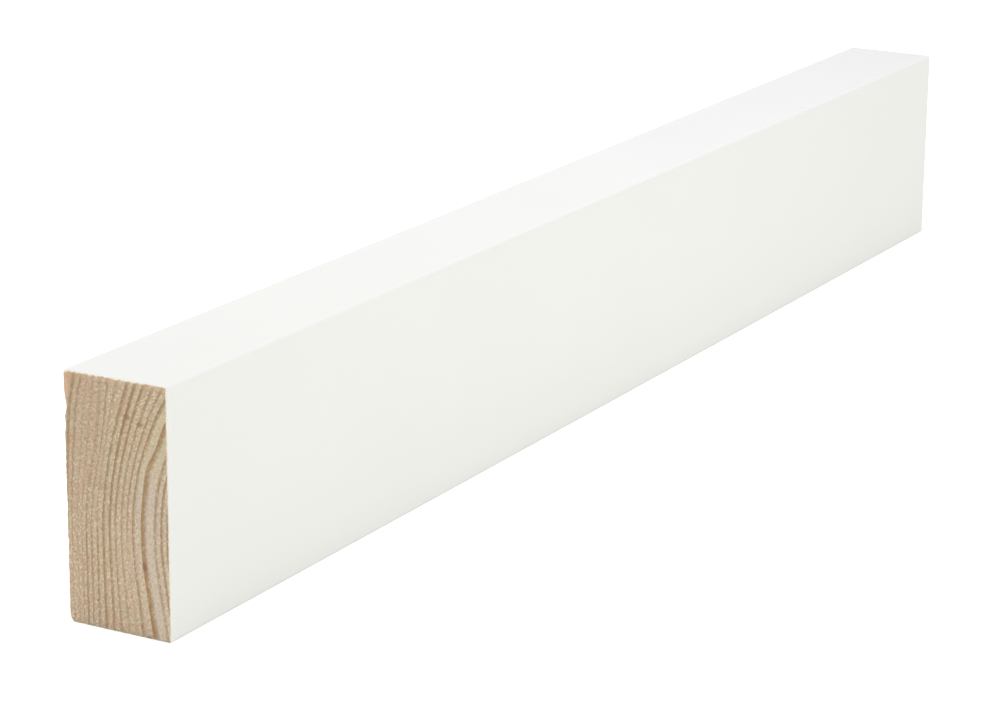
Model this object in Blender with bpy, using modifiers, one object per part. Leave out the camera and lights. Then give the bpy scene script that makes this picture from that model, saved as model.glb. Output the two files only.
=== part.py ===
"""Flat trim strip: one length of planed softwood with eased long arrises, sawn square at both ends.

Metres, +Z up. The strip stands on its narrow bottom edge with its length along X and its painted face
towards -Y. The origin lies under its middle, on the surface it stands on.
"""

import bpy

# Size of the planed section, and the length it is sawn to
LENGTH = 0.330
THICKNESS = 0.021
FACE_HEIGHT = 0.045

# Radius of each long arris. The planer eases three of them alike, and the back bottom one is worn rounder.
FRONT_TOP_ARRIS = 0.0005
FRONT_BOTTOM_ARRIS = 0.0005
BACK_TOP_ARRIS = 0.0004
BACK_BOTTOM_ARRIS = 0.0012
ARRIS_SEGMENTS = 6

# Factory paint on the face and both narrow edges, bare pine on the back and the sawn ends
PAINT_COLOUR = (0.80, 0.80, 0.77)
PAINT_ROUGHNESS = 0.45
PINE_COLOUR = (0.56, 0.41, 0.27)
PINE_ROUGHNESS = 0.80
PAINT_SLOT = 0
PINE_SLOT = 1


def clear_scene():
    """Removes whatever the open scene holds."""
    for thing in list(bpy.data.objects):
        bpy.data.objects.remove(thing, do_unlink=True)


def new_collection(name):
    """A collection for the finished pieces, linked to the scene."""
    collection = bpy.data.collections.new(name)
    bpy.context.scene.collection.children.link(collection)
    return collection


def plain_material(name, colour, roughness):
    """A Principled material of one colour and roughness."""
    material = bpy.data.materials.new(name)
    material.use_nodes = True
    surface = material.node_tree.nodes["Principled BSDF"]
    surface.inputs["Base Color"].default_value = (*colour, 1.0)
    surface.inputs["Roughness"].default_value = roughness
    material.diffuse_color = (*colour, 1.0)
    return material


def planed_blank(name, collection):
    """The square-edged blank at its real size, standing on its narrow edge."""
    bpy.ops.mesh.primitive_cube_add(size=1.0, location=(0.0, 0.0, FACE_HEIGHT / 2))
    blank = bpy.context.object
    blank.name = name
    blank.data.name = name
    blank.scale = (LENGTH, THICKNESS, FACE_HEIGHT)
    bpy.ops.object.transform_apply(location=True, rotation=False, scale=True)
    for owner in list(blank.users_collection):
        owner.objects.unlink(blank)
    collection.objects.link(blank)
    return blank


def arris_radius(at_front, at_top):
    """The radius of the long arris on this side of the section."""
    if at_front:
        return FRONT_TOP_ARRIS if at_top else FRONT_BOTTOM_ARRIS
    return BACK_TOP_ARRIS if at_top else BACK_BOTTOM_ARRIS


def ease_long_arrises(blank):
    """Rounds the four long arrises, each to its own radius, and leaves the sawn ends crisp."""
    mesh = blank.data
    widest = max(arris_radius(front, top) for front in (True, False) for top in (True, False))
    weights = mesh.attributes.new("bevel_weight_edge", "FLOAT", "EDGE")
    for edge in mesh.edges:
        first, second = (mesh.vertices[index].co for index in edge.vertices)
        middle = (first + second) / 2
        if abs(first.x - second.x) < LENGTH / 2:
            continue
        weights.data[edge.index].value = arris_radius(middle.y < 0, middle.z > FACE_HEIGHT / 2) / widest
    bevel = blank.modifiers.new("Eased arrises", "BEVEL")
    bevel.limit_method = "WEIGHT"
    bevel.width = widest
    bevel.segments = ARRIS_SEGMENTS


def coat(strip):
    """Puts paint on the front and the narrow edges, and leaves the back and the ends as bare pine."""
    strip.data.materials.append(plain_material("white_paint", PAINT_COLOUR, PAINT_ROUGHNESS))
    strip.data.materials.append(plain_material("bare_pine", PINE_COLOUR, PINE_ROUGHNESS))
    for side in strip.data.polygons:
        along, outward, up = side.normal
        sawn_end = abs(along) > max(abs(outward), abs(up))
        back = outward > max(abs(along), abs(up))
        side.material_index = PINE_SLOT if sawn_end or back else PAINT_SLOT


def main():
    """Builds the strip."""
    clear_scene()
    collection = new_collection("flat_trim_strip")
    strip = planed_blank("trim_strip", collection)
    coat(strip)
    ease_long_arrises(strip)


main()
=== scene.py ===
"""Looks of the flat trim strip: one length of white painted pine, sawn square at both ends.

Metres, +Z up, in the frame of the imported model. Places inside the wood are millimetres of the strip itself:
`along` runs from the near end, `across` from the bare back to the painted face, `down` from the top edge.
"""

import logging
import math
from dataclasses import dataclass, field, replace
from enum import Enum

import bpy
import numpy as np
from mathutils import Matrix, Vector, noise

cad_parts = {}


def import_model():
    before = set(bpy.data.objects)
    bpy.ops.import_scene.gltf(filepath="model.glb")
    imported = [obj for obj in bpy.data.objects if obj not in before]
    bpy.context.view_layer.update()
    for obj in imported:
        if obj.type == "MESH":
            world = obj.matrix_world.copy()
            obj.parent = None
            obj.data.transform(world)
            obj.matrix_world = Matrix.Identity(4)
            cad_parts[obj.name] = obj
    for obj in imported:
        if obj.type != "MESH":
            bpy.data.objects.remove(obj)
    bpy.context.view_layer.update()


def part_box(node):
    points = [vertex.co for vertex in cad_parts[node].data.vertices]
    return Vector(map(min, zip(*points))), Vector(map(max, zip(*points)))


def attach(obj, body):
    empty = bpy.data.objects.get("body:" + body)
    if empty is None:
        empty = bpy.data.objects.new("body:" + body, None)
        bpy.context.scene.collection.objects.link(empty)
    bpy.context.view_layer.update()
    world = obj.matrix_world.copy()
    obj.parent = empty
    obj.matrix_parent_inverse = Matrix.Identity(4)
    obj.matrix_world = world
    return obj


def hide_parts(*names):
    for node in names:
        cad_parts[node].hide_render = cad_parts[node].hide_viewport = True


Node = bpy.types.Node
Socket = bpy.types.NodeSocket
Tree = bpy.types.NodeTree
Mesh = bpy.types.Mesh
Array = np.ndarray
Pair = tuple[float, float]
Triple = tuple[float, float, float]
Colour = tuple[float, float, float, float]
Inputs = dict[int | str, object]

MM = 0.001
NODES_IN_A_ROW = 12
NODE_WIDTH = 190.0
NODE_HEIGHT = 230.0
WHITE = (1.0, 1.0, 1.0, 1.0)
LOG = logging.getLogger("trim_strip")

# Latewood is full up to the first share of its width and gone at the second
LATEWOOD_FADE = (0.3, 1.15)


class Side(Enum):
    """The six sides of the strip, each with the slot of the finish that covers it."""

    FRONT = ("front", 0)
    TOP = ("top", 0)
    BOTTOM = ("bottom", 0)
    NEAR_END = ("near end", 1)
    FAR_END = ("far end", 1)
    BACK = ("back", 2)

    @property
    def slot(self) -> int:
        """The material slot of this side."""
        return self.value[1]


def shade(*screen: float) -> Colour:
    """The linear colour that a shader takes, from red, green and blue as a screen shows them, 0 to 255."""
    shares = [channel / 255 for channel in screen]
    return (*(v / 12.92 if v <= 0.04045 else ((v + 0.055) / 1.055) ** 2.4 for v in shares), 1.0)


def smoothstep(start: float, end: float, values: Array) -> Array:
    """Rises smoothly from 0 for values at the start to 1 for values at the end."""
    share = np.clip((values - start) / (end - start), 0.0, 1.0)
    return share * share * (3.0 - 2.0 * share)


def crowded(count: int, span: float, crowding: float) -> Array:
    """Divides a span into gaps that shrink towards both ends, to a half at 0.9 and a hundredth at 3."""
    even = np.linspace(-crowding, crowding, count + 1)
    return span * (np.tanh(even) / math.tanh(crowding) + 1.0) / 2.0


def wander(*places: Array, octaves: int) -> Array:
    """A fixed random field, about -1 to 1, at places of three parts, with one unit to a wave."""
    return np.array([noise.fractal(Vector(place), 1.0, 2.0, octaves) for place in np.column_stack(places)])


@dataclass(frozen=True)
class Places:
    """Places in the wood, in mm along, across and down the strip."""

    along: Array
    across: Array
    down: Array


@dataclass(frozen=True)
class RingLine:
    """One dark line of latewood in the sawn section.

    The radius is its place across at the middle of the arcs, and the latewood its width towards the heart, in
    mm. Darkness, and the paleness of the spring wood beyond, differ in the upper and the lower part.
    """

    radius: float
    latewood: float
    darkness: Pair
    amber: float
    paleness: Pair


SECTION_RINGS = (
    RingLine(-0.15, 0.5, (0.64, 0.25), 0.7, (0, 0)),
    RingLine(0.8, 0.42, (0.55, 0.2), 0.2, (0, 0)),
    RingLine(2, 0.35, (0.18, 0.26), 0.1, (0, 0)),
    RingLine(2.9, 0.35, (0.24, 0.28), 0.1, (0, 0)),
    RingLine(3.8, 0.42, (0.34, 0.72), 0.1, (0.05, 0.05)),
    RingLine(4.85, 0.45, (0.5, 0.6), 0.1, (0.05, 0.05)),
    RingLine(6.05, 0.45, (0.28, 0.66), 0.1, (0.1, 0.1)),
    RingLine(7.25, 0.58, (0.7, 0.8), 0.1, (0.1, 0.1)),
    RingLine(8.6, 0.66, (0.94, 0.72), 0.2, (0.1, 0.1)),
    RingLine(9.8, 0.48, (0.8, 0.56), 0.1, (0.15, 0.15)),
    RingLine(11.05, 0.48, (0.62, 0.46), 0.2, (0.2, 0.2)),
    RingLine(12.25, 0.44, (0.68, 0.22), 0.3, (0.2, 0.2)),
    RingLine(13.35, 0.5, (0.8, 0.62), 0.3, (0.85, 0.35)),
    RingLine(15.2, 1.35, (0.86, 0.96), 1, (1, 1)),
    RingLine(17.95, 0.48, (0.66, 0.55), 0.5, (0.6, 0.6)),
    RingLine(19.2, 0.56, (0.84, 0.8), 0.4, (0.45, 0.45)),
    RingLine(20.4, 0.5, (0.75, 0.78), 0.6, (0.4, 0.4)),
    RingLine(21.6, 0.4, (0.6, 0.6), 0.4, (0.3, 0.3)),
)


@dataclass(frozen=True)
class Bulge:
    """A swelling about one ring and depth, which pushes the rings towards the painted face. All in mm."""

    radius: float
    spread: float
    down: float
    tall: float
    push: float


@dataclass(frozen=True)
class GrowthRings:
    """The arcs of the growth rings, as one solid pattern through the whole strip.

    The heart of the tree lies beyond the painted face, so that each ring bows towards the back. A ring keeps
    its radius at the height of the bow and leans towards the face above and below it.
    """

    lines: tuple[RingLine, ...] = SECTION_RINGS
    bow: float = 27.0
    upper_span: float = 27.0
    upper_lean: Pair = (1.5, 0.52)
    least_upper_lean: float = 1.0
    upper_power: Pair = (1.17, 0.065)
    least_upper_power: float = 1.3
    lower_start: float = 28.0
    lower_span: float = 17.0
    lower_lean: float = 2.8
    lower_ease: float = 0.2
    lower_radii: Pair = (5.0, 17.0)
    knee_radius: float = 15.4
    knee_spread: float = 1.6
    knee_down: float = 13.0
    knee_span: float = 3.2
    knee_push: float = 0.75
    bulges: tuple[Bulge, ...] = (
        Bulge(0.5, 1.5, 0.0, 4.5, 0.85),
        Bulge(4.4, 1.3, 10.5, 8.0, 0.95),
        Bulge(7.4, 0.9, 2.0, 5.5, 0.45),
    )
    bark_line: RingLine = RingLine(0.0, 0.34, (0.8, 0.8), 0.2, (0.05, 0.05))
    heart_line: RingLine = RingLine(0.0, 0.38, (0.7, 0.7), 0.4, (0.3, 0.3))
    outer_gap: float = 1.15
    outer_unevenness: float = 0.15
    outer_count: int = 9
    log_length: float = 330.0
    log_middle: float = 22.5
    taper: float = 3.4
    twist: float = 1.6
    sway: float = 0.55
    sway_start: float = 40.0
    sway_along: float = 95.0
    sway_down: float = 15.0
    look_change: Pair = (18.0, 31.0)
    search_range: Pair = (-12.0, 34.0)
    search_steps: int = 30

    def all_lines(self) -> tuple[RingLine, ...]:
        """The rings of the section with those that lie outside it, towards the bark and the heart."""
        first, last = self.lines[0].radius, self.lines[-1].radius
        bark = [replace(self.bark_line, radius=first - self.outer_gap * (
            number + self.outer_unevenness * (number % 2))) for number in range(self.outer_count, 0, -1)]
        heart = [replace(self.heart_line, radius=last + self.outer_gap * number)
                 for number in range(1, self.outer_count)]
        return (*bark, *self.lines, *heart)

    def across_at(self, radius: Array, down: Array) -> Array:
        """Follows rings through the section.

        Args:
            radius: The radius of each ring, in mm.
            down: The depth below the top edge at which it is met, in mm.

        Returns:
            The place across the section, in mm.
        """
        above = np.clip((self.bow - down) / self.upper_span, 0.0, None)
        reach = np.maximum(self.upper_lean[0] + self.upper_lean[1] * radius, self.least_upper_lean)
        power = np.maximum(self.upper_power[0] + self.upper_power[1] * radius, self.least_upper_power)
        below = np.clip((down - self.lower_start) / self.lower_span, 0.0, None)
        soft = np.sqrt(below * below + self.lower_ease ** 2) - self.lower_ease
        lower = self.lower_lean * smoothstep(*self.lower_radii, radius) * soft
        past_knee = (down - self.knee_down) / self.knee_span
        near_knee = np.exp(-((radius - self.knee_radius) / self.knee_spread) ** 2)
        knee = -self.knee_push * near_knee * past_knee * np.exp(-past_knee ** 2)
        swell = sum(bulge.push * np.exp(-((radius - bulge.radius) / bulge.spread) ** 2
                                        - ((down - bulge.down) / bulge.tall) ** 2) for bulge in self.bulges)
        return radius + reach * above ** power + lower + knee + swell

    def drift(self, along: Array, down: Array) -> Array:
        """How far the rings have moved across, in mm, at a distance from the near end."""
        sway = self.sway * smoothstep(0.0, self.sway_start, along) * wander(
            along / self.sway_along, down / self.sway_down, np.zeros_like(along), octaves=2)
        lean = self.taper + self.twist * (down - self.log_middle) / self.log_middle
        return along / self.log_length * lean + sway

    def radius_at(self, wood: Places) -> Array:
        """Finds the ring radius at places in the wood, by halving the range that holds it.

        Args:
            wood: The places.

        Returns:
            The radius in mm at each place.
        """
        wanted = wood.across + self.drift(wood.along, wood.down)
        low, high = (np.full_like(wanted, limit) for limit in self.search_range)
        for _ in range(self.search_steps):
            middle = (low + high) / 2.0
            short = self.across_at(middle, wood.down) < wanted
            low = np.where(short, middle, low)
            high = np.where(short, high, middle)
        return (low + high) / 2.0

    def read(self, wood: Places) -> dict[str, Array]:
        """Reads the pattern at places in the wood.

        Args:
            wood: The places.

        Returns:
            The year count, the radius, and the look of the ring at each place, by name.
        """
        lines = self.all_lines()
        radii = np.array([line.radius for line in lines])
        gaps = np.append(np.diff(radii), self.outer_gap)
        radius = self.radius_at(wood)
        found = {"radius": radius, "year": np.interp(radius, radii, np.arange(len(radii), dtype=float)),
                 "gap": np.interp(radius, radii, gaps)}
        for look in ("latewood", "amber"):
            found[look] = np.interp(radius, radii, [getattr(line, look) for line in lines])
        share = smoothstep(*self.look_change, wood.down)
        for look, middles in (("darkness", radii), ("paleness", radii + gaps / 2.0)):
            above, below = (np.interp(radius, middles, values)
                            for values in zip(*(getattr(line, look) for line in lines)))
            found[look] = above * (1.0 - share) + below * share
        return found

    @staticmethod
    def latewood(found: dict[str, Array]) -> Array:
        """How much dark latewood there is at the places that were read, 0 to 1."""
        past = np.mod(found["year"], 1.0) * found["gap"]
        return (1.0 - smoothstep(*LATEWOOD_FADE, past / found["latewood"])) * found["darkness"]


@dataclass(frozen=True)
class Value:
    """A value or colour that comes out of a node, with plain arithmetic on it."""

    sheet: "NodeSheet"
    socket: Socket

    def __add__(self, other: object) -> "Value":
        """This and another."""
        return self.sheet.math("ADD", self, other)

    def __sub__(self, other: object) -> "Value":
        """This less another."""
        return self.sheet.math("SUBTRACT", self, other)

    def __rsub__(self, other: float) -> "Value":
        """A number less this."""
        return self.sheet.math("SUBTRACT", other, self)

    def __mul__(self, other: object) -> "Value":
        """This times another."""
        return self.sheet.math("MULTIPLY", self, other)

    def __truediv__(self, other: object) -> "Value":
        """This over another."""
        return self.sheet.math("DIVIDE", self, other)

    def __or__(self, other: object) -> "Value":
        """The greater of two masks, so that either covers."""
        return self.sheet.math("MAXIMUM", self, other)


@dataclass
class NodeSheet:
    """A shader node tree under construction, so that a finish reads as a list of steps."""

    tree: Tree

    def add(self, kind: str, inputs: Inputs | None = None, **settings: object) -> Node:
        """Adds a node.

        Args:
            kind: The node's type, such as ShaderNodeMath.
            inputs: What its sockets are fed, by their number or name.
            settings: Properties to set on it.

        Returns:
            The node.
        """
        row, column = divmod(len(self.tree.nodes), NODES_IN_A_ROW)
        node = self.tree.nodes.new(kind)
        node.location = (column * NODE_WIDTH, -row * NODE_HEIGHT)
        for name, value in settings.items():
            setattr(node, name, value)
        for name, value in (inputs or {}).items():
            self.feed(node.inputs[name], value)
        return node

    def feed(self, socket: Socket, value: object) -> None:
        """Joins a socket to a value of this sheet, or sets it to a plain one."""
        if isinstance(value, Value):
            self.tree.links.new(value.socket, socket)
        else:
            socket.default_value = value

    def outlets(self, node: Node) -> dict[str, Value]:
        """All that comes out of a node, by name."""
        return {socket.name: Value(self, socket) for socket in node.outputs}

    def step(self, kind: str, inputs: Inputs, outlet: int | str = 0, **settings: object) -> Value:
        """Adds a node, for the value that comes out of one of its sockets."""
        return Value(self, self.add(kind, inputs, **settings).outputs[outlet])

    def effect(self, tree: Tree, **inputs: object) -> dict[str, Value]:
        """Places a shared effect, fed by name with underscores for spaces, for all that comes out of it."""
        fed = {name.replace("_", " "): value for name, value in inputs.items()}
        return self.outlets(self.add("ShaderNodeGroup", fed, node_tree=tree))

    def math(self, operation: str, first: object, second: object = 0.0) -> Value:
        """One step of arithmetic on two values."""
        return self.step("ShaderNodeMath", {0: first, 1: second}, operation=operation)

    def rise(self, value: object, start: object, end: object, low: float = 0.0, high: float = 1.0) -> Value:
        """A smooth rise from low at the start to high at the end, which may lie below the start."""
        return self.step("ShaderNodeMapRange", dict(enumerate((value, start, end, low, high))),
                         interpolation_type="SMOOTHSTEP")

    def blend(self, share: object, first: object, second: object, way: str = "MIX") -> Value:
        """The mix of two colours, with a share of the second."""
        return self.step("ShaderNodeMix", {0: share, 6: first, 7: second}, 2, data_type="RGBA",
                         blend_type=way)

    def tinted(self, colour: object, tint: object) -> Value:
        """A colour as another one tints it."""
        return self.blend(1.0, colour, tint, "MULTIPLY")

    def object_place(self) -> Value:
        """The place on the piece, in metres."""
        return self.step("ShaderNodeTexCoord", {}, "Object")

    def split(self, vector: Value) -> list[Value]:
        """The three parts of a vector."""
        return list(self.outlets(self.add("ShaderNodeSeparateXYZ", {0: vector})).values())

    def join(self, first: object, second: object, third: object = 0.0) -> Value:
        """A vector from three parts."""
        return self.step("ShaderNodeCombineXYZ", {0: first, 1: second, 2: third})

    def stretched(self, vector: object, scale: Triple) -> Value:
        """A vector with each part scaled."""
        return self.step("ShaderNodeMapping", {"Vector": vector, "Scale": scale})

    def noise(self, vector: object, scale: object, detail: float = 2.0, roughness: float = 0.5) -> Value:
        """A soft random value about 0.5, with as many waves to a unit of the place as the scale says."""
        return self.step("ShaderNodeTexNoise", {"Vector": vector, "Scale": scale, "Detail": detail,
                                                "Roughness": roughness}, "Fac")

    def cells(self, vector: object, scale: float) -> tuple[Value, Value]:
        """Scattered points: the distance to the nearest one, and a random value of its own."""
        points = self.outlets(self.add("ShaderNodeTexVoronoi", {"Vector": vector, "Scale": scale}))
        return points["Distance"], self.step("ShaderNodeSeparateColor", {0: points["Color"]})

    def attribute(self, name: str, outlet: str = "Vector") -> Value:
        """Reads a value that is stored on the mesh."""
        return self.step("ShaderNodeAttribute", {}, outlet, attribute_name=name)

    def bump(self, height: object, depth: float) -> Value:
        """A normal that follows a height, where one stands for a depth in metres."""
        return self.step("ShaderNodeBump", {"Strength": 1.0, "Distance": depth, "Height": height})


@dataclass
class NodeGroup:
    """A shader effect that several finishes share, with named sockets."""

    name: str
    inputs: dict[str, float] = field(default_factory=dict)

    def __post_init__(self) -> None:
        """Opens the group's tree and takes its inputs."""
        self.tree = bpy.data.node_groups.new(self.name, "ShaderNodeTree")
        for name, value in self.inputs.items():
            socket = self.tree.interface.new_socket(name, in_out="INPUT", socket_type="NodeSocketFloat")
            socket.default_value = value
        self.sheet = NodeSheet(self.tree)
        self.given = self.sheet.outlets(self.sheet.add("NodeGroupInput"))

    def finish(self, **results: Value) -> Tree:
        """Puts the results out.

        Args:
            results: What the effect puts out, by name.

        Returns:
            The finished effect.
        """
        for name in results:
            self.tree.interface.new_socket(name, in_out="OUTPUT", socket_type="NodeSocketFloat")
        self.sheet.add("NodeGroupOutput", results)
        return self.tree


@dataclass
class SharedEffects:
    """The effects that the finishes have in common."""

    strip_size: Triple

    def __post_init__(self) -> None:
        """Builds each effect once."""
        self.wood_place = self.build_wood_place()
        self.ring_figure = self.build_ring_figure()
        self.paint_creep = self.build_paint_creep()

    def build_wood_place(self) -> Tree:
        """Turns Object coordinates into mm along, across and down the strip."""
        length, thickness, height = self.strip_size
        group = NodeGroup("place_in_the_wood")
        place = group.sheet.step("ShaderNodeMapping", {
            "Vector": group.sheet.object_place(), "Scale": (1.0 / MM, -1.0 / MM, -1.0 / MM),
            "Location": (length / 2.0, thickness / 2.0, height)})
        along, across, down = group.sheet.split(place)
        return group.finish(Along=along, Across=across, Down=down)

    @staticmethod
    def build_ring_figure() -> Tree:
        """The growth rings, from the year count that the mesh carries."""
        group = NodeGroup("growth_ring_figure", {"Waver": 0.05, "Waver Scale": 1.2, "Sharpness": 0.07})
        sheet, given = group.sheet, group.given
        year, radius, gap = sheet.split(sheet.attribute("ring_place"))
        latewood, darkness, amber = sheet.split(sheet.attribute("ring_look"))
        drawn_out = sheet.stretched(sheet.object_place(), (60.0, 1.0 / MM, 1.0 / MM))
        ripple = sheet.noise(drawn_out, given["Waver Scale"])
        share = sheet.math("FRACT", year + (ripple - 0.5) * given["Waver"] / gap)
        full, gone = LATEWOOD_FADE
        fade = sheet.rise(share * gap / latewood, gone, full)
        crisp = sheet.rise((1.0 - share) * gap, given["Sharpness"], 0.0)
        return group.finish(Latewood=(fade | crisp) * darkness, Amber=amber,
                            Pale=sheet.attribute("ring_pale", "Fac"), Radius=radius)

    @staticmethod
    def build_paint_creep() -> Tree:
        """A ragged coat that ends a short way from an edge."""
        group = NodeGroup("paint_creep", {"Distance": 1.0, "Reach": 0.3, "Raggedness": 0.2, "Scale": 1.0,
                                          "Softness": 0.1})
        sheet, given = group.sheet, group.given
        ragged = sheet.noise(sheet.stretched(sheet.object_place(), (1.0 / MM,) * 3), given["Scale"], 3.0)
        edge = given["Reach"] + (ragged - 0.5) * (given["Raggedness"] * 2.0)
        return group.finish(Mask=sheet.rise(given["Distance"], edge + given["Softness"],
                                            edge - given["Softness"]))


@dataclass(frozen=True)
class RaggedEdge:
    """The end of a coat: its reach, how far that swings and fades in mm, and how many swings go to a mm."""

    reach: float
    raggedness: float
    scale: float
    softness: float


@dataclass
class FinishSheet(NodeSheet):
    """The sheet of one finish of the strip, with its surface shader and the place in the wood at hand."""

    surface: Node
    effects: SharedEffects

    def __post_init__(self) -> None:
        """Finds the place in the wood, in mm."""
        parts = self.effect(self.effects.wood_place)
        self.along, self.across, self.down = (parts[name] for name in ("Along", "Across", "Down"))
        self.place = self.join(self.along, self.across, self.down)
        self.length, self.thickness, self.height = self.effects.strip_size

    def drawn_out(self, share: float) -> Value:
        """The place with less of its distance along, so that a pattern is drawn out along the strip."""
        return self.stretched(self.place, (share, 1.0, 1.0))

    def creep(self, distance: Value, edge: RaggedEdge) -> Value:
        """The mask of a coat that has crept from an edge of the strip, by the distance from that edge."""
        return self.effect(self.effects.paint_creep, Distance=distance, Reach=edge.reach,
                           Raggedness=edge.raggedness, Scale=edge.scale, Softness=edge.softness)["Mask"]

    def show(self, **looks: object) -> None:
        """Feeds the surface shader, by the names of its sockets, with underscores for spaces."""
        for name, value in looks.items():
            self.feed(self.surface.inputs[name.replace("_", " ")], value)


@dataclass(frozen=True)
class Finish:
    """A finish of the strip."""

    name: str

    def material(self, effects: SharedEffects) -> bpy.types.Material:
        """Builds the finish.

        Args:
            effects: The shared effects.

        Returns:
            The material.
        """
        material, surface = open_material(self.name)
        self.dress(FinishSheet(material.node_tree, surface, effects))
        return material

    def dress(self, sheet: FinishSheet) -> None:
        """Gives the surface its look, in each finish's own way."""
        raise NotImplementedError


def open_material(name: str) -> tuple[bpy.types.Material, Node]:
    """Starts a material.

    Args:
        name: The material's name.

    Returns:
        The material and its surface shader.
    """
    material = bpy.data.materials.new(name)
    material.use_nodes = True
    return material, material.node_tree.nodes["Principled BSDF"]


@dataclass(frozen=True)
class WhitePaint(Finish):
    """Smooth factory paint, satin, sprayed on the face and both narrow edges."""

    name: str = "white_paint"
    colour: Colour = (0.815, 0.817, 0.775, 1.0)
    second_colour: Colour = (0.809, 0.815, 0.772, 1.0)
    # Painted light: the top edge takes a lit tint of its own, more neutral than the face and cooler and a
    # touch lighter towards the far end
    near_top_lit_colour: Colour = (0.812, 0.810, 0.790, 1.0)
    far_top_lit_colour: Colour = (0.818, 0.818, 0.816, 1.0)
    top_change: Pair = (60.0, 220.0)
    # Painted shade: a grey along the bottom arris, where the floor shades the face
    bottom_shade: Colour = (0.80, 0.80, 0.79, 1.0)
    bottom_shade_edge: RaggedEdge = RaggedEdge(0.5, 0.25, 0.35, 0.3)
    bottom_shade_strength: float = 0.6
    roughness: float = 0.42
    roughness_swing: float = 0.04
    relief: float = 0.000012

    def dress(self, sheet: FinishSheet) -> None:
        """Paints the surface.

        Args:
            sheet: The finish under construction.
        """
        drift = sheet.noise(sheet.place, 0.03, 1.0)
        tone = sheet.blend(sheet.rise(drift, 0.35, 0.65), self.colour, self.second_colour)
        # Painted light: the top edge gets its own lit tint, which changes along the strip
        top_lit_tone = sheet.blend(sheet.rise(sheet.along, *self.top_change), self.near_top_lit_colour,
                               self.far_top_lit_colour)
        tone = sheet.blend(sheet.rise(sheet.down, 0.5, 0.2), tone, top_lit_tone)
        # Painted shade: a ragged grey band up from the foot of the face
        bottom_shade = sheet.creep(sheet.height - sheet.down, self.bottom_shade_edge) * self.bottom_shade_strength
        peel = sheet.noise(sheet.place, 1.1, 1.0)
        pull = sheet.noise(sheet.drawn_out(0.05), 1.6)
        dots, own = sheet.cells(sheet.place, 0.16)
        nibs = sheet.rise(dots, 0.05, 0.02) * sheet.rise(own, 0.72, 0.76)
        sheet.show(Base_Color=sheet.blend(bottom_shade, tone, self.bottom_shade),
                   Normal=sheet.bump(peel * 0.35 + (pull * 0.25 + nibs), self.relief),
                   Roughness=sheet.rise(drift, 0.3, 0.7, self.roughness - self.roughness_swing,
                                        self.roughness + self.roughness_swing))


@dataclass(frozen=True)
class Stain:
    """A spot on the near end, with its place and half its width and height in mm."""

    across: float
    down: float
    wide: float
    tall: float
    strength: float
    colour: Colour


NEAR_END_STAINS = (
    Stain(12.8, 6.4, 0.75, 0.60, 0.75, shade(151, 126, 92)),
    Stain(15.4, 7.3, 0.70, 0.45, 0.65, shade(151, 117, 93)),
    Stain(15.75, 32.3, 0.50, 1.00, 0.80, shade(148, 104, 76)),
    Stain(6.0, 40.1, 0.22, 0.20, 0.80, shade(120, 92, 66)),
    Stain(4.7, 18.4, 0.40, 0.35, 0.35, shade(170, 140, 106)),
    Stain(6.9, 19.3, 0.75, 0.70, 0.30, shade(168, 140, 106)),
    Stain(15.0, 43.2, 0.35, 0.55, 0.60, shade(160, 124, 88)),
    Stain(16.4, 44.9, 0.70, 0.30, 0.90, shade(92, 78, 58)),
    Stain(11.4, 44.9, 0.40, 0.25, 0.60, shade(118, 100, 76)),
    Stain(4.4, 44.9, 0.60, 0.30, 0.55, shade(120, 98, 74)),
    Stain(7.5, 44.9, 0.45, 0.25, 0.50, shade(124, 104, 80)),
    Stain(1.10, 1.1, 0.92, 0.90, 0.66, shade(207, 162, 130)),
    Stain(0.45, 3.1, 0.55, 1.90, 0.80, shade(220, 184, 156)),
)


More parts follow.
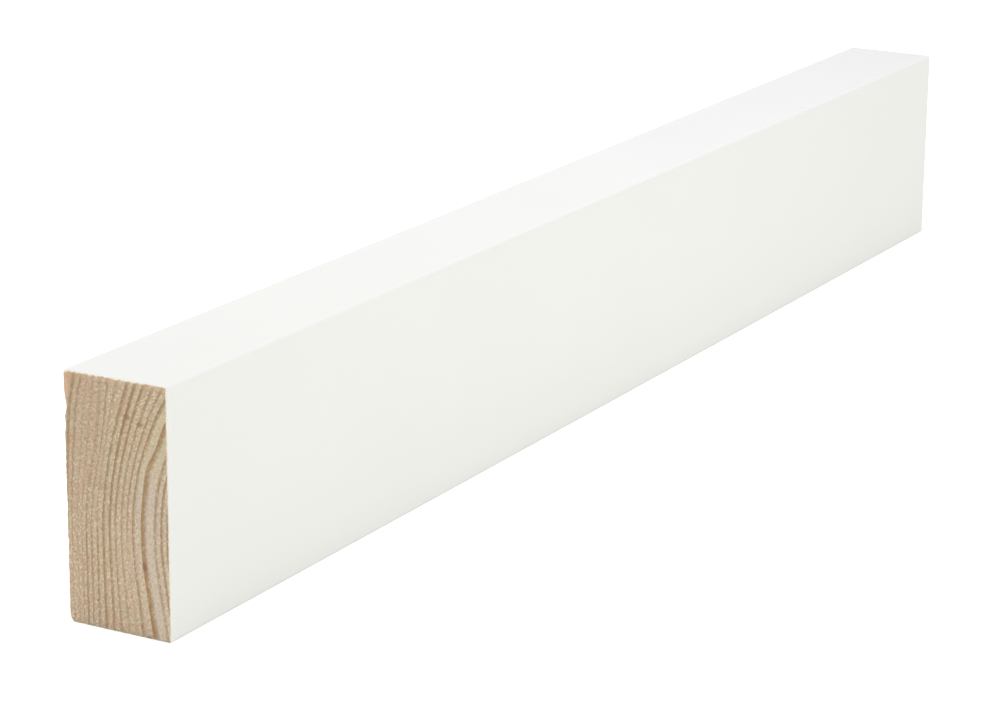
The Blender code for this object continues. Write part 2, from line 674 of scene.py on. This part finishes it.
@dataclass(frozen=True)
class SawnPine(Finish):
    """Raw end grain as a fine saw leaves it, with its growth rings, pale flecks and a rim of paint."""

    name: str = "sawn_end_pine"
    spring_wood: Colour = shade(199, 179, 152)
    warm_wood: Colour = shade(201, 175, 147)
    pale_wood: Colour = shade(205, 190, 172)
    pale_top_wood: Colour = shade(205, 191, 161)
    late_wood: Colour = shade(149, 124, 91)
    amber_wood: Colour = shade(158, 124, 81)
    # Painted light: how much the wood is lightened at the bottom of the end
    foot_light_tone: Colour = (1.05, 1.05, 1.05, 1.0)
    outer_tone: Colour = (0.955, 0.955, 0.965, 1.0)
    rosy_tone: Colour = (1.01, 0.993, 0.992, 1.0)
    green_tone: Colour = (0.992, 1.008, 0.986, 1.0)
    # Painted light and shade: the lit crests and shaded dips of the coarse wood's mottle
    crest_light_tone: Colour = (1.20, 1.21, 1.23, 1.0)
    dip_shade_tone: Colour = (0.72, 0.70, 0.67, 1.0)
    fleck: Colour = shade(229, 212, 184)
    pore: Colour = shade(156, 134, 107)
    pore_strength: float = 0.70
    stains: tuple[Stain, ...] = NEAR_END_STAINS
    # A grey band along the bottom edge of the end
    bottom_grey: Colour = shade(181, 173, 155)
    bottom_grey_edge: RaggedEdge = RaggedEdge(0.30, 0.22, 0.9, 0.25)
    bottom_grey_strength: float = 0.75
    blush: Colour = shade(222, 190, 158)
    blush_edge: RaggedEdge = RaggedEdge(0.75, 0.55, 0.5, 0.55)
    blush_strength: float = 0.45
    coat: Colour = shade(248, 242, 228)
    top_edge: RaggedEdge = RaggedEdge(0.24, 0.36, 1.3, 0.12)
    face_edge: RaggedEdge = RaggedEdge(0.26, 0.16, 1.3, 0.16)
    corner_edge: RaggedEdge = RaggedEdge(0.60, 0.18, 0.8, 0.12)
    corner_slant: float = 0.36
    wood_roughness: float = 0.86
    coat_roughness: float = 0.5
    relief: float = 0.00005

    def grain(self, sheet: FinishSheet, figure: dict[str, Value]) -> Value:
        """The colour of the wood between and on the ring lines.

        Args:
            sheet: The finish under construction.
            figure: The growth ring effect.

        Returns:
            The colour.
        """
        cloud = sheet.noise(sheet.place, 0.28)
        spring = sheet.blend(sheet.rise(cloud, 0.35, 0.65), self.spring_wood, self.warm_wood)
        pale = sheet.blend(sheet.rise(sheet.down, 20.0, 12.0), self.pale_wood, self.pale_top_wood)
        spring = sheet.blend(figure["Pale"], spring, pale)
        late = sheet.blend(figure["Amber"], self.late_wood, self.amber_wood)
        patchy = sheet.rise(sheet.noise(sheet.place, 0.75), 0.28, 0.55, 0.75, 1.0)
        wood = sheet.blend(figure["Latewood"] * patchy, spring, late)
        # Painted light: the wood is lightened towards the bottom edge of the end
        wood = sheet.blend(sheet.rise(sheet.down, 10.0, 40.0), wood, sheet.tinted(wood, self.foot_light_tone))
        wood = sheet.blend(sheet.rise(figure["Radius"], 8.0, 4.0), wood, sheet.tinted(wood, self.outer_tone))
        tint = sheet.rise(sheet.noise(sheet.place, 0.42, 1.0), 0.38, 0.62)
        wood = sheet.tinted(wood, sheet.blend(tint, self.rosy_tone, self.green_tone))
        # Painted light and shade on the coarse wood: a mottle with lighter, cooler crests and darker, warmer
        # dips
        mottle = sheet.noise(sheet.join(figure["Radius"], sheet.down * 0.85), 2.5, 2.0, 0.6)
        open_wood = self.open_wood(sheet, figure)
        dip = sheet.rise(mottle, 0.50, 0.28) * open_wood
        crest = sheet.rise(mottle, 0.50, 0.71) * open_wood
        return sheet.blend(crest, sheet.blend(dip, wood, sheet.tinted(wood, self.dip_shade_tone)),
                           sheet.tinted(wood, self.crest_light_tone))

    @staticmethod
    def open_wood(sheet: FinishSheet, figure: dict[str, Value]) -> Value:
        """How coarse the wood is: least on the dense ring lines, and little on the palest band."""
        smooth = sheet.rise(figure["Pale"], 0.55, 1.0, 0.0, 0.45)
        return 1.0 - (figure["Latewood"] * 0.75 | smooth)

    def flecks(self, sheet: FinishSheet, figure: dict[str, Value]) -> tuple[Value, Value]:
        """Pale flecks and dark pores, in rows that follow the rings.

        Args:
            sheet: The finish under construction.
            figure: The growth ring effect.

        Returns:
            The mask of the flecks and the mask of the pores.
        """
        radius = figure["Radius"]
        flat = sheet.join(radius * 1.5, sheet.down + radius * 0.55)
        calm = sheet.rise(radius, 6.5, 4.0) * sheet.rise(sheet.down, 20.0, 14.0)
        busy = (1.0 - calm * 0.5) * self.open_wood(sheet, figure)
        near, own = sheet.cells(flat, 1.65)
        pale = sheet.rise(near, 0.60, 0.10) * sheet.rise(own, 0.15, 0.80)
        near, own = sheet.cells(flat, 2.3)
        dark = sheet.rise(near, 0.42, 0.12) * sheet.rise(own, 0.40, 0.9)
        return pale * busy, dark * busy

    def stained(self, sheet: FinishSheet, wood: Value, near: Value) -> Value:
        """Lays the stains over the wood of the near end.

        Args:
            sheet: The finish under construction.
            wood: The colour so far.
            near: One on the near end, and nothing on the far one.

        Returns:
            The colour with the stains.
        """
        ripple = (sheet.noise(sheet.join(sheet.across, sheet.down), 2.2) - 0.5) * 1.6
        for stain in self.stains:
            wide = (sheet.across - stain.across) / stain.wide
            tall = (sheet.down - stain.down) / stain.tall
            reach = wide * wide + tall * tall + ripple
            wood = sheet.blend(sheet.rise(reach, 1.5, 0.1, 0.0, stain.strength) * near, wood, stain.colour)
        return wood

    def dress(self, sheet: FinishSheet) -> None:
        """Lays out the sawn wood and the paint on its rim.

        Args:
            sheet: The finish under construction.
        """
        figure = sheet.effect(sheet.effects.ring_figure, Waver=0.25, Waver_Scale=1.2, Sharpness=0.18)
        pale, dark = self.flecks(sheet, figure)
        wood = sheet.blend(dark * self.pore_strength, self.grain(sheet, figure), self.pore)
        wood = sheet.blend(pale, wood, self.fleck)
        near = sheet.math("LESS_THAN", sheet.along, sheet.length / 2.0)
        wood = self.stained(sheet, wood, near)
        # Greyer in a ragged band along the bottom edge of the end
        bottom_grey = sheet.creep(sheet.height - sheet.down, self.bottom_grey_edge)
        wood = sheet.blend(bottom_grey * self.bottom_grey_strength, wood, self.bottom_grey)
        blush = sheet.creep(sheet.down, self.blush_edge)
        wood = sheet.blend(blush * self.blush_strength * near, wood, self.blush)
        spill = sheet.creep(sheet.down + sheet.across * self.corner_slant, self.corner_edge) * near
        coat = (sheet.creep(sheet.down, self.top_edge)
                | sheet.creep(sheet.thickness - sheet.across, self.face_edge) | spill)
        fuzz = sheet.noise(sheet.place, 6.0, 3.0, 0.6)
        sheet.show(Base_Color=sheet.blend(coat, wood, self.coat), Specular_IOR_Level=0.3,
                   Roughness=sheet.rise(coat, 0.0, 1.0, self.wood_roughness, self.coat_roughness),
                   Normal=sheet.bump(fuzz * 0.8 + (pale * 0.7 - dark), self.relief))


@dataclass(frozen=True)
class PlanedPine(Finish):
    """The bare planed back: flat-sawn figure, fine fibres, resin ducts and a misted edge of paint."""

    name: str = "planed_back_pine"
    spring_wood: Colour = shade(224, 198, 160)
    warm_wood: Colour = shade(217, 188, 148)
    late_wood: Colour = shade(193, 150, 104)
    amber_wood: Colour = shade(190, 142, 92)
    late_strength: float = 0.85
    fibre_tone: Colour = (0.86, 0.83, 0.78, 1.0)
    fibre_strength: float = 0.7
    duct: Colour = shade(172, 130, 88)
    duct_strength: float = 0.7
    coat: Colour = shade(240, 236, 226)
    top_edge: RaggedEdge = RaggedEdge(0.9, 0.75, 0.22, 0.35)
    bottom_edge: RaggedEdge = RaggedEdge(0.7, 0.75, 0.22, 0.35)
    wood_roughness: float = 0.68
    coat_roughness: float = 0.48
    relief: float = 0.00003

    def dress(self, sheet: FinishSheet) -> None:
        """Lays out the planed wood and the paint that has misted onto it.

        Args:
            sheet: The finish under construction.
        """
        figure = sheet.effect(sheet.effects.ring_figure, Waver=0.10, Waver_Scale=0.5, Sharpness=0.05)
        cloud = sheet.noise(sheet.drawn_out(0.12), 0.22)
        wood = sheet.blend(sheet.rise(cloud, 0.35, 0.65), self.spring_wood, self.warm_wood)
        late = sheet.blend(figure["Amber"], self.late_wood, self.amber_wood)
        wood = sheet.blend(figure["Latewood"] * self.late_strength, wood, late)
        fibre = sheet.noise(sheet.drawn_out(0.03), 4.5, 3.0, 0.65)
        wood = sheet.blend(sheet.rise(fibre, 0.6, 0.35, 0.0, self.fibre_strength), wood,
                           sheet.tinted(wood, self.fibre_tone))
        dots, own = sheet.cells(sheet.drawn_out(0.16), 0.55)
        ducts = sheet.rise(dots, 0.075, 0.03) * sheet.rise(own, 0.35, 0.5)
        wood = sheet.blend(ducts * self.duct_strength, wood, self.duct)
        coat = (sheet.creep(sheet.down, self.top_edge)
                | sheet.creep(sheet.height - sheet.down, self.bottom_edge))
        knives = sheet.step("ShaderNodeTexWave", {"Vector": sheet.place, "Scale": 0.21, "Distortion": 0.6},
                            "Fac", wave_type="BANDS", bands_direction="X")
        relief = fibre * 0.6 + knives * 0.25 + figure["Latewood"] * 0.5
        sheet.show(Base_Color=sheet.blend(coat, wood, self.coat), Specular_IOR_Level=0.35,
                   Roughness=sheet.rise(coat, 0.0, 1.0, self.wood_roughness, self.coat_roughness),
                   Normal=sheet.bump(relief, self.relief))


@dataclass(frozen=True)
class Arris:
    """One eased long edge of the strip, and how far it rounds off across and down, in mm."""

    at_back: bool
    at_top: bool
    wide: float
    tall: float


@dataclass(frozen=True)
class Nick:
    """A bite out of the back edge at the near end: its place, half height, depth and reach along, in mm."""

    down: float
    tall: float
    deep: float
    reach: float


@dataclass(frozen=True)
class SawMarks:
    """The relief of a sawn end: sunken spring wood, fuzz, slanting strokes and a torn rim. Sizes in mm."""

    least: float = 0.02
    spring_dip: float = 0.030
    fuzz: float = 0.022
    fuzz_size: float = 0.55
    stroke: float = 0.008
    stroke_gap: float = 1.3
    stroke_slant: float = 0.18
    stroke_sway: float = 0.4
    stroke_sway_size: float = 6.0
    tear: float = 0.30
    tear_size: float = 0.8
    tear_start: float = 0.1
    tear_shift: float = 7.0
    rim: float = 0.45
    far_end_shift: float = 40.0
    settle: float = 1.6

    def depth(self, wood: Places, size: Triple, latewood: Array) -> Array:
        """How deep the sawn surface lies below the square end.

        Args:
            wood: The places.
            size: Length, thickness and height of the strip, in mm.
            latewood: The share of hard latewood, which stands proud.

        Returns:
            The depth in mm, never less than nothing.
        """
        length, thickness, height = size
        flat = np.array((wood.across, wood.down, (wood.along > length / 2.0) * self.far_end_shift))
        sway = self.stroke_sway * wander(*flat / self.stroke_sway_size, octaves=1)
        strokes = np.sin((wood.down + self.stroke_slant * wood.across + sway) * 2.0 * math.pi
                         / self.stroke_gap)
        sides = np.minimum.reduce((wood.across, thickness - wood.across, wood.down, height - wood.down))
        torn = np.clip(wander(*flat / self.tear_size + self.tear_shift, octaves=2) - self.tear_start,
                       0.0, None)
        rim = np.clip(1.0 - sides / self.rim, 0.0, 1.0) ** 2
        fuzz = wander(*flat / self.fuzz_size, octaves=2)
        return np.clip(self.spring_dip * (1.0 - latewood) + self.fuzz * fuzz + self.stroke * strokes
                       + self.least + self.tear * rim * torn, 0.0, None)


@dataclass
class TrimStrip:
    """The strip as one closed mesh, with eased long arrises, worn edges and the relief of its sawn ends."""

    lowest: Vector
    highest: Vector
    name: str = "painted_pine_strip"
    columns: int = 100
    rows: int = 200
    stations: int = 88
    section_crowding: float = 0.9
    length_crowding: float = 3.0
    arrises: tuple[Arris, ...] = (
        Arris(False, True, 0.5, 0.5),
        Arris(False, False, 0.5, 0.5),
        Arris(True, True, 0.4, 0.4),
        Arris(True, False, 1.0, 1.7),
    )
    nicks: tuple[Nick, ...] = (
        Nick(6.3, 1.5, 0.40, 0.9),
        Nick(9.6, 0.9, 0.15, 0.7),
        Nick(23.5, 1.2, 0.12, 0.6),
        Nick(30.5, 0.7, 0.10, 0.6),
    )
    wear: float = 0.05
    wear_reach: float = 2.5
    wear_fade: float = 2.0
    ripple_along: float = 9.0
    ripple_down: float = 1.6
    ripple_share: float = 0.4
    smooth_angle: float = math.radians(38.0)
    rings: GrowthRings = field(default_factory=GrowthRings)
    saw_marks: SawMarks = field(default_factory=SawMarks)

    def __post_init__(self) -> None:
        """Works out the length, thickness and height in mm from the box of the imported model."""
        self.size = tuple((self.highest - self.lowest) / MM)
        self.length, self.thickness, self.height = self.size

    def blank(self) -> bpy.types.Object:
        """Adds the blank: a grid of the section, drawn out and cut across its length.

        Returns:
            The blank, one unit in each direction.
        """
        bpy.ops.object.select_all(action="DESELECT")
        bpy.ops.mesh.primitive_grid_add(x_subdivisions=self.columns, y_subdivisions=self.rows, size=1.0)
        strip = bpy.context.object
        strip.name = self.name
        strip.data.name = self.name
        bpy.context.tool_settings.mesh_select_mode = (False, True, False)
        bpy.ops.object.mode_set(mode="EDIT")
        bpy.ops.mesh.select_all(action="SELECT")
        bpy.ops.mesh.extrude_region_move(TRANSFORM_OT_translate={"value": (0.0, 0.0, 1.0)})
        bpy.ops.mesh.select_all(action="SELECT")
        bpy.ops.mesh.normals_make_consistent(inside=False)
        bpy.ops.mesh.select_all(action="DESELECT")
        bpy.ops.object.mode_set(mode="OBJECT")
        mesh = strip.data
        ends = np.empty(2 * len(mesh.edges), int)
        mesh.edges.foreach_get("vertices", ends)
        heights = self.points(mesh)[:, 2][ends.reshape(-1, 2)]
        mesh.edges.foreach_set("select", np.abs(heights[:, 0] - heights[:, 1]) > 0.5)
        bpy.ops.object.mode_set(mode="EDIT")
        bpy.ops.mesh.subdivide(number_cuts=self.stations - 1)
        bpy.ops.object.mode_set(mode="OBJECT")
        return strip

    @staticmethod
    def points(mesh: Mesh) -> Array:
        """The corners of a mesh, one a row."""
        flat = np.empty(3 * len(mesh.vertices))
        mesh.vertices.foreach_get("co", flat)
        return flat.reshape(-1, 3)

    def eased(self, wood: Places) -> Places:
        """Rounds the section's corners, by drawing each square corner onto a quarter of an ellipse.

        Args:
            wood: Places in the square section.

        Returns:
            The same places in the eased section.
        """
        across, down = wood.across, wood.down
        for arris in self.arrises:
            side = across if arris.at_back else self.thickness - across
            edge = down if arris.at_top else self.height - down
            outward = np.clip(1.0 - side / arris.wide, 0.0, 1.0)
            upward = np.clip(1.0 - edge / arris.tall, 0.0, 1.0)
            corner = (outward > 0.0) & (upward > 0.0)
            side = np.where(corner, arris.wide * (1.0 - outward * np.sqrt(1.0 - upward ** 2 / 2.0)), side)
            edge = np.where(corner, arris.tall * (1.0 - upward * np.sqrt(1.0 - outward ** 2 / 2.0)), edge)
            across = side if arris.at_back else self.thickness - side
            down = edge if arris.at_top else self.height - edge
        return Places(wood.along, across, down)

    def worn(self, wood: Places) -> Places:
        """Wears the back edges at both ends, where the saw broke fibres away.

        Args:
            wood: Places in the eased strip.

        Returns:
            The same places in the worn one.
        """
        along, across, down = wood.along, wood.across, wood.down
        from_far = self.length - along
        ripple = wander(along / self.ripple_along, np.zeros_like(along), down / self.ripple_down, octaves=3)
        bite = self.wear * (1.0 + ripple) * (np.exp(-along / self.wear_reach)
                                             + np.exp(-from_far / self.wear_reach))
        for nick in self.nicks:
            shape = np.exp(-((down - nick.down) / nick.tall) ** 2)
            bite += nick.deep * shape * (1.0 + self.ripple_share * ripple) * np.exp(-along / nick.reach)
        return Places(along, across + bite * np.clip(1.0 - across / self.wear_fade, 0.0, 1.0), down)

    def shape(self, strip: bpy.types.Object) -> None:
        """Gives the blank its real size, eased arrises, wear, relief, rings, slots and atlas.

        Args:
            strip: The blank.
        """
        mesh = strip.data
        unit = self.points(mesh)
        station = np.rint(unit[:, 2] * self.stations).astype(int)
        column = np.rint((unit[:, 0] + 0.5) * self.columns).astype(int)
        row = np.rint((unit[:, 1] + 0.5) * self.rows).astype(int)
        square = Places(crowded(self.stations, self.length, self.length_crowding)[station],
                        crowded(self.columns, self.thickness, self.section_crowding)[column],
                        crowded(self.rows, self.height, self.section_crowding)[row])
        wood = self.worn(self.eased(square))
        found = self.rings.read(wood)
        depth = self.saw_marks.depth(wood, self.size, self.rings.latewood(found))
        near_share, far_share = (np.clip(1.0 - distance / self.saw_marks.settle, 0.0, 1.0)
                                 for distance in (wood.along, self.length - wood.along))
        shaped = wood.along + depth * (near_share - far_share)
        place = np.column_stack((self.lowest.x + shaped * MM, self.highest.y - wood.across * MM,
                                 self.highest.z - wood.down * MM))
        mesh.vertices.foreach_set("co", place.ravel())
        self.store_rings(mesh, found)
        self.lay_out_sides(mesh, (station, column, row), (
            square.along / self.length, square.across / self.thickness, square.down / self.height))
        mesh.update()

    @staticmethod
    def store_rings(mesh: Mesh, found: dict[str, Array]) -> None:
        """Keeps the rings on the mesh, for the finishes to read."""
        for name, parts in (("ring_place", ("year", "radius", "gap")),
                            ("ring_look", ("latewood", "darkness", "amber"))):
            values = np.column_stack([found[part] for part in parts])
            mesh.attributes.new(name, "FLOAT_VECTOR", "POINT").data.foreach_set("vector", values.ravel())
        mesh.attributes.new("ring_pale", "FLOAT", "POINT").data.foreach_set("value", found["paleness"])

    def lay_out_sides(self, mesh: Mesh, grid: tuple[Array, ...], shares: tuple[Array, ...]) -> None:
        """Gives each side its slot and its part of the atlas, most of which goes to the detailed sawn ends.

        Args:
            mesh: The strip's mesh, of four-sided faces.
            grid: Each corner's station along the strip, and its column and row in the section.
            shares: Each corner's share of the way along, across and down.
        """
        corners = np.empty(len(mesh.loops), int)
        mesh.loops.foreach_get("vertex_index", corners)
        corners = corners.reshape(-1, 4)
        station, column, row = (part[corners] for part in grid)
        along, across, down = (share[corners] for share in shares)
        rise = 1.0 - down
        sheets = {
            Side.NEAR_END: (station == 0, (0.005, 0.425), (0.49, 0.57), across, rise),
            Side.FAR_END: (station == self.stations, (0.505, 0.425), (0.49, 0.57), 1.0 - across, rise),
            Side.BACK: (column == 0, (0.005, 0.215), (0.99, 0.20), 1.0 - along, rise),
            Side.FRONT: (column == self.columns, (0.005, 0.115), (0.99, 0.09), along, rise),
            Side.TOP: (row == 0, (0.005, 0.060), (0.99, 0.045), along, 1.0 - across),
            Side.BOTTOM: (row == self.rows, (0.005, 0.005), (0.99, 0.045), along, across),
        }
        slots = np.zeros(len(corners), int)
        flat = np.zeros((*corners.shape, 2))
        for side, (on_side, start, size, wide, tall) in sheets.items():
            faces = on_side.all(1)
            slots[faces] = side.slot
            flat[faces] = np.array(start) + np.array(size) * np.stack((wide[faces], tall[faces]), 2)
        mesh.polygons.foreach_set("material_index", slots)
        while mesh.uv_layers:
            mesh.uv_layers.remove(mesh.uv_layers[0])
        mesh.uv_layers.new(name="OFBake").data.foreach_set("uv", flat.ravel())

    def build(self, finishes: list[bpy.types.Material]) -> bpy.types.Object:
        """Builds and dresses the strip.

        Args:
            finishes: The materials, in the order of the sides' slots.

        Returns:
            The finished piece.
        """
        strip = self.blank()
        for finish in finishes:
            strip.data.materials.append(finish)
        self.shape(strip)
        bpy.ops.object.select_all(action="DESELECT")
        strip.select_set(True)
        bpy.context.view_layer.objects.active = strip
        bpy.ops.object.mode_set(mode="EDIT")
        bpy.ops.mesh.select_all(action="SELECT")
        bpy.ops.mesh.normals_make_consistent(inside=False)
        bpy.ops.object.mode_set(mode="OBJECT")
        bpy.ops.object.shade_smooth_by_angle(angle=self.smooth_angle)
        return strip


@dataclass(frozen=True)
class Softbox:
    """A soft white studio lamp, in metres and watts, and the point that it faces."""

    name: str
    place: Triple
    aim: Triple
    size: Pair
    power: float

    def build(self) -> None:
        """Hangs the lamp."""
        light = bpy.data.lights.new(self.name, "AREA")
        light.shape = "RECTANGLE"
        light.size, light.size_y = self.size
        light.energy = self.power
        lamp = bpy.data.objects.new(self.name, light)
        lamp.location = self.place
        lamp.rotation_euler = (Vector(self.aim) - Vector(self.place)).to_track_quat("-Z", "Y").to_euler()
        # Seen in the satin paint, a lamp would burn the top edge out from some sides
        lamp.visible_glossy = False
        bpy.context.scene.collection.objects.link(lamp)


@dataclass(frozen=True)
class Studio:
    """The plain pale floor, the soft light and the camera at the photograph's angle."""

    floor_size: float = 60.0
    floor_colour: Colour = (0.90, 0.90, 0.90, 1.0)
    floor_roughness: float = 0.9
    floor_glow: float = 0.40
    fill: float = 0.668
    camera_place: Triple = (-0.58947, -0.30993, 0.20265)
    camera_yaw: float = math.radians(60.848)
    camera_pitch: float = math.radians(16.403)
    camera_roll: float = math.radians(0.529)
    camera_range: Pair = (0.01, 200.0)
    lens: float = 118.4
    sensor: float = 36.0
    softboxes: tuple[Softbox, ...] = (
        Softbox("overhead_softbox", (0.0, 0.10, 0.40), (0.0, 0.0, 0.03), (0.50, 0.30), 0.65),
        Softbox("front_softbox", (0.0, -0.60, 0.45), (0.0, 0.0, 0.03), (0.50, 0.30), 1.77),
        Softbox("end_softbox", (-0.62, 0.34, 0.26), (-0.165, 0.0, 0.02), (0.30, 0.30), 0.72),
    )

    def camera(self) -> None:
        """Sets up the camera."""
        body = bpy.data.cameras.new("camera")
        body.lens = self.lens
        body.sensor_width = self.sensor
        body.clip_start, body.clip_end = self.camera_range
        camera = bpy.data.objects.new("camera", body)
        turn = (Matrix.Rotation(-self.camera_yaw, 4, "Z")
                @ Matrix.Rotation(math.pi / 2.0 - self.camera_pitch, 4, "X")
                @ Matrix.Rotation(self.camera_roll, 4, "Z"))
        camera.matrix_world = Matrix.Translation(self.camera_place) @ turn
        bpy.context.scene.collection.objects.link(camera)
        bpy.context.scene.camera = camera

    def floor(self) -> None:
        """Lays the floor, which the camera sees as white and the strip as plain grey paper."""
        bpy.ops.object.select_all(action="DESELECT")
        bpy.ops.mesh.primitive_plane_add(size=self.floor_size, location=(0.0, 0.0, 0.0))
        floor = bpy.context.object
        floor.name = "studio_floor"
        material, surface = open_material("studio_paper")
        sheet = NodeSheet(material.node_tree)
        seen = sheet.step("ShaderNodeLightPath", {}, "Is Camera Ray")
        for name, value in (("Base Color", self.floor_colour), ("Roughness", self.floor_roughness),
                            ("Specular IOR Level", 0.0), ("Emission Color", WHITE),
                            ("Emission Strength", seen * self.floor_glow)):
            sheet.feed(surface.inputs[name], value)
        floor.data.materials.append(material)

    def sky(self) -> None:
        """Sets a white surround that gives a dimmer, even fill."""
        world = bpy.data.worlds.new("studio_surround")
        world.use_nodes = True
        sheet = NodeSheet(world.node_tree)
        surround = world.node_tree.nodes["Background"]
        seen = sheet.step("ShaderNodeLightPath", {}, "Is Camera Ray")
        sheet.feed(surround.inputs["Color"], WHITE)
        sheet.feed(surround.inputs["Strength"], sheet.rise(seen, 0.0, 1.0, self.fill, 1.0))
        bpy.context.scene.world = world

    def build(self) -> None:
        """Builds the whole studio."""
        self.camera()
        self.floor()
        self.sky()
        for softbox in self.softboxes:
            softbox.build()
        bpy.context.scene.view_settings.view_transform = "Standard"


def dress_strip() -> bpy.types.Object:
    """Replaces the plain solid with the finished strip.

    Returns:
        The finished piece.
    """
    strip = TrimStrip(*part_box("trim_strip"))
    effects = SharedEffects(strip.size)
    finishes = (WhitePaint(), SawnPine(), PlanedPine())
    piece = strip.build([finish.material(effects) for finish in finishes])
    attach(piece, "root")
    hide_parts("trim_strip")
    return piece


def main() -> None:
    """Builds the finished strip in its studio."""
    logging.basicConfig(level=logging.INFO, format="%(name)s: %(message)s")
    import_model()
    piece = dress_strip()
    LOG.info("%s has %d faces", piece.name, len(piece.data.polygons))
    Studio().build()
    LOG.info("studio is set up")


if __name__ == "__main__":
    main()
